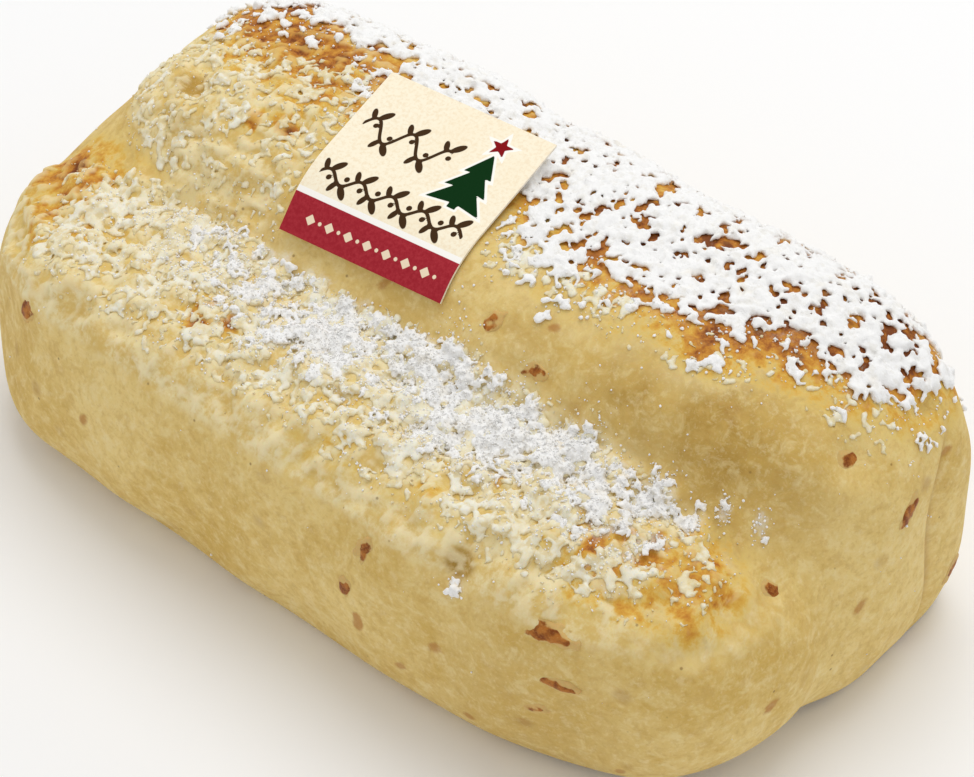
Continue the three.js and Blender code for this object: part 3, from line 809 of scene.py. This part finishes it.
DROP = 4
random = np.random.default_rng(7)
near_sheet = np.exp(-((cover + 0.5) / 0.7) ** 2) * smooth(middles[:, 2], 50, 58)
density = smooth(upwards, 0.1, 0.6) * (0.3 * near_sheet + 2.6 * powder_level + 0.3 * on_lumps + 0.005) + 0.002
density *= smooth(middles[:, 2], 2, 4)
at, out = sown(density * ~under_label(middles), random)
width = 0.09 + 0.2 * random.random(len(at)) ** 1.6
sizes = width[:, None] * random.uniform(0.55, 1.35, (len(at), 3))
grains = strewn("icing_sugar_grains", 1, at + out * (width * 0.5 + rest(at, out))[:, None],
                frames(out, random), sizes)
grains.data.materials.append(sugar)
for piece in (sheet, lumps, drift):
    paint_rise(piece)
edge = np.exp(-((caked(crust_at) + 0.1) / 0.7) ** 2) * smooth(crust_at[:, 2], 50, 58)
dusted = np.maximum(0.25 * edge, np.clip(powdered(crust_at), 0, 1)) + 0.25 * soaked(crust_at)
dusted += 0.15 * smooth(caked(crust_at), 0, 1)
paint(loaf_mesh, "dusted", dusted)
paint(grains.data, "rise", np.ones(len(grains.data.vertices)))
for piece in (sheet, lumps, drift, grains):
    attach(piece, "root")


# ---- the label -------------------------------------------------------------------------------------
# A square of speckled cream card, printed with a dark red band, a fir tree with a star and a sprig. It
# lies over the hump's front shoulder and is too stiff to follow the dough all the way up or down.

CARD = {"width": 39, "height": 40, "thickness": 0.5, "x": -16.2, "y": 2.8, "turn": 5, "flattest": 12,
        "steepest": 44, "lift": 1.3}
STRIDE = 0.2


def card_path(sense):
    """The line that the card follows from its middle, towards the front (+1) or the back (-1)."""
    y, z = CARD["y"], top_points(np.array([CARD["x"]]), np.array([CARD["y"]]))[0, 2] + CARD["lift"]
    rows = []
    while len(rows) * STRIDE < CARD["height"] / 2 + 6:
        out = skin_normals(top_points(np.array([CARD["x"]]), np.array([y])))[0]
        angle = np.clip(math.atan2(-out[1], out[2]), math.radians(CARD["flattest"]),
                        math.radians(CARD["steepest"]))
        rows.append((len(rows) * STRIDE, y, z, angle))
        y -= sense * math.cos(angle) * STRIDE
        z -= sense * math.sin(angle) * STRIDE
    return np.array(rows).T


bm = bmesh.new()
bmesh.ops.create_grid(bm, x_segments=117, y_segments=120, size=0.5)
bmesh.ops.scale(bm, verts=bm.verts, vec=(CARD["width"], CARD["height"], 1))
bmesh.ops.solidify(bm, geom=bm.faces[:], thickness=CARD["thickness"])
bmesh.ops.recalc_face_normals(bm, faces=bm.faces)
bm.normal_update()
for face in bm.faces:
    face.smooth = abs(face.normal.z) > 0.5
    face.material_index = 0 if face.normal.z > 0.5 else 1
for edge in bm.edges:
    edge.smooth = all(face.smooth for face in edge.link_faces)

flat = np.array([v.co for v in bm.verts])
across, up = flat[:, 0], flat[:, 1]
out = flat[:, 2] - flat[:, 2].mean()
turn = math.radians(CARD["turn"])
run = -across * math.sin(turn) - up * math.cos(turn)
behind, ahead = card_path(-1), card_path(1)
y, z, angle = (np.where(run > 0, np.interp(run, ahead[0], ahead[k]), np.interp(-run, behind[0], behind[k]))
               for k in (1, 2, 3))
bent = np.column_stack([CARD["x"] + across * math.cos(turn) - up * math.sin(turn),
                        y - out * np.sin(angle), z + out * np.cos(angle)])
for vertex, (x, y, z) in zip(bm.verts, (bent + FOLD_FROM_ORIGIN) * MM):
    vertex.co = x, y, z
label_mesh = bpy.data.meshes.new("label_card")
bm.to_mesh(label_mesh)
bm.free()


def oval(x, y, lean, long, wide):
    """Distance outside a leaf-like oval on the card."""
    lean = math.radians(lean)
    u = (across - x) * math.cos(lean) + (up - y) * math.sin(lean)
    v = (up - y) * math.cos(lean) - (across - x) * math.sin(lean)
    return (np.hypot(u / long, v / wide) - 1) * wide


def sprig(x_from, x_to, height, swing, length):
    """Distance outside a curling stem with a leaf and a berry at every swing."""
    phase = 2 * math.pi / length
    middle = height + swing * np.sin(phase * (across - x_from))
    slope = swing * phase * np.cos(phase * (across - x_from))
    stem = np.abs(up - middle) / np.sqrt(1 + slope ** 2) - 0.36
    stem = np.maximum(stem, np.maximum(x_from - across, across - x_to))
    sign, x = 1, x_from + length / 4
    while x < x_to:
        top = height + sign * swing
        stem = np.minimum(stem, oval(x + 1.1, top + sign * 1.2, sign * 50, 1.7, 0.75))
        stem = np.minimum(stem, oval(x - 1.4, top + sign * 0.7, sign * 115, 1.4, 0.6))
        stem = np.minimum(stem, oval(x + 0.6, top - sign * 1.7, 0, 0.6, 0.6))
        sign, x = -sign, x + length / 2
    return stem


TREE_X = 10.6
tree = np.maximum(np.abs(across - TREE_X) - 0.95, np.maximum(-2.4 - up, up))
for tip, foot_height, half in ((12.2, 6.9, 2.9), (9.2, 2.9, 4.2), (6.0, -1.1, 5.4)):
    side = np.abs(across - TREE_X)
    slant = math.hypot(half, tip - foot_height)
    edge = (side * (tip - foot_height) - half * (tip - up)) / slant
    tree = np.minimum(tree, np.maximum(edge, foot_height - 0.16 * side - up))
turned = np.mod(np.arctan2(across - TREE_X, up - 14.4) + math.pi / 5, 2 * math.pi / 5) - math.pi / 5
reach = np.hypot(across - TREE_X, up - 14.4)
STAR = 2.7
inner = (0.4 * STAR * math.cos(math.pi / 5), 0.4 * STAR * math.sin(math.pi / 5))
slant = math.hypot(STAR - inner[0], inner[1])
star = ((reach * np.cos(turned) - STAR) * inner[1]
        + reach * np.abs(np.sin(turned)) * (STAR - inner[0])) / slant
ink = np.minimum(sprig(-16.8, 3.2, 6.6, 2.4, 8.6), sprig(-17.2, 16.8, -6.6, 1.2, 7.4))
trim = np.full(len(across), 9.0)
for k in range(-3, 4):
    trim = np.minimum(trim, (np.abs(across - 4.6 * k) + np.abs(up + 16) - 1.15) * 0.7)
    trim = np.minimum(trim, np.hypot(across - 4.6 * k - 2.3, up + 16) - 0.42)
for name, distance in (("tree", tree), ("star", star), ("ink", ink), ("trim", trim), ("up", up + 0.0)):
    paint(label_mesh, name, distance)

card, shader, place = new_material("printed_card")
fleck = place.noise(0.7, 4, 0.65)
cloud = place.noise(9, 3, 0.5)
paper = fleck.smooth(0.42, 0.66).over(tint(254, 244, 219), tint(248, 232, 202))
paper = (cloud.smooth(0.4, 0.7) * 0.3).over(paper, tint(251, 234, 200))


def printed(name, paper, edge, colour):
    """Ink up to a distance from a shape, slightly uneven at its edge."""
    inside = 1 - (paper_place.attribute(name) + (fleck - 0.5) * 0.05).smooth(edge - 0.05, edge + 0.05)
    return inside.over(paper, colour)


paper_place = place
height = place.attribute("up")
paper = printed("ink", paper, 0.0, tint(66, 44, 22))
paper = printed("tree", paper, 0.5, tint(255, 252, 244))
paper = printed("star", paper, 0.5, tint(255, 252, 244))
paper = printed("tree", paper, 0.0, tint(2, 48, 12))
paper = printed("star", paper, 0.0, tint(136, 12, 18))
paper = printed("up", paper, -10.7, tint(255, 252, 246))
band = fleck.smooth(0.35, 0.7).over(tint(160, 36, 48), tint(174, 50, 60))
paper = printed("up", paper, -11.9, band)
on_band = 1 - height.smooth(-12.0, -11.9)
cream_trim = on_band * (1 - (place.attribute("trim") + 0.0).smooth(-0.05, 0.05))
paper = cream_trim.over(paper, tint(246, 226, 196))
feed(shader, "Base Color", paper)
feed(shader, "Roughness", 0.66 + fleck * 0.14)
feed(shader, "Normal", fleck.node("Bump", {}, {"Height": fleck, "Strength": 0.15, "Distance": 0.08 * MM}))
shader.inputs["Specular IOR Level"].default_value = 0.08
label_mesh.materials.append(card)

core, shader, place = new_material("plain_card")
pulp = place.noise(0.8, 4, 0.7)
feed(shader, "Base Color", pulp.smooth(0.35, 0.7).over(tint(250, 244, 230), tint(232, 222, 202)))
feed(shader, "Roughness", 0.8 + pulp * 0.1)
label_mesh.materials.append(core)
label = bpy.data.objects.new("label_card", label_mesh)
bpy.context.scene.collection.objects.link(label)
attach(label, "root")
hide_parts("label")


# ---- the floor, the light and the camera -----------------------------------------------------------
# The stollen stands on a plain white sweep under a large soft light, with white all round it.

bm = bmesh.new()
bmesh.ops.create_grid(bm, x_segments=1, y_segments=1, size=6)
mesh = bpy.data.meshes.new("floor")
bm.to_mesh(mesh)
bm.free()
floor = bpy.data.objects.new("floor", mesh)
bpy.context.scene.collection.objects.link(floor)
sweep, shader, place = new_material("white_sweep")
shader.inputs["Base Color"].default_value = (0.95, 0.95, 0.95, 1)
shader.inputs["Roughness"].default_value = 0.9
mesh.materials.append(sweep)

world = bpy.data.worlds.new("white_room")
bpy.context.scene.world = world
world.use_nodes = True
world.node_tree.nodes["Background"].inputs["Color"].default_value = (1, 1, 1, 1)
world.node_tree.nodes["Background"].inputs["Strength"].default_value = 0.67


def soft_light(name, place, towards, size, watts):
    light = bpy.data.lights.new(name, "AREA")
    light.shape, light.size, light.energy = "DISK", size, watts
    lamp = bpy.data.objects.new(name, light)
    lamp.location = place
    lamp.rotation_euler = (Vector(towards) - Vector(place)).to_track_quat("-Z", "Y").to_euler()
    bpy.context.scene.collection.objects.link(lamp)


soft_light("overhead", (-0.1, 0.35, 1.1), (0, 0, 0.03), 0.9, 5.5)

AZIMUTH, ELEVATION, ROLL = math.radians(41.84), math.radians(43.965), math.radians(-0.621)
back = Vector((math.sin(AZIMUTH) * math.cos(ELEVATION), -math.cos(AZIMUTH) * math.cos(ELEVATION),
               math.sin(ELEVATION)))
right = Vector((math.cos(AZIMUTH), math.sin(AZIMUTH), 0))
up = back.cross(right)
right, up = (right * math.cos(ROLL) + up * math.sin(ROLL), up * math.cos(ROLL) - right * math.sin(ROLL))
lens = bpy.data.cameras.new("camera")
lens.sensor_width = 36
lens.lens = 120.3
lens.shift_x, lens.shift_y = 0.0187, -0.00804
lens.clip_start, lens.clip_end = 0.05, 20
camera = bpy.data.objects.new("camera", lens)
camera.matrix_world = Matrix.Translation(Vector((0.004309, 0.002229, 0.03)) + back * 0.63175) @ Matrix(
    (right, up, back)).transposed().to_4x4()
bpy.context.scene.collection.objects.link(camera)
bpy.context.scene.camera = camera
bpy.context.scene.view_settings.view_transform = "Standard"
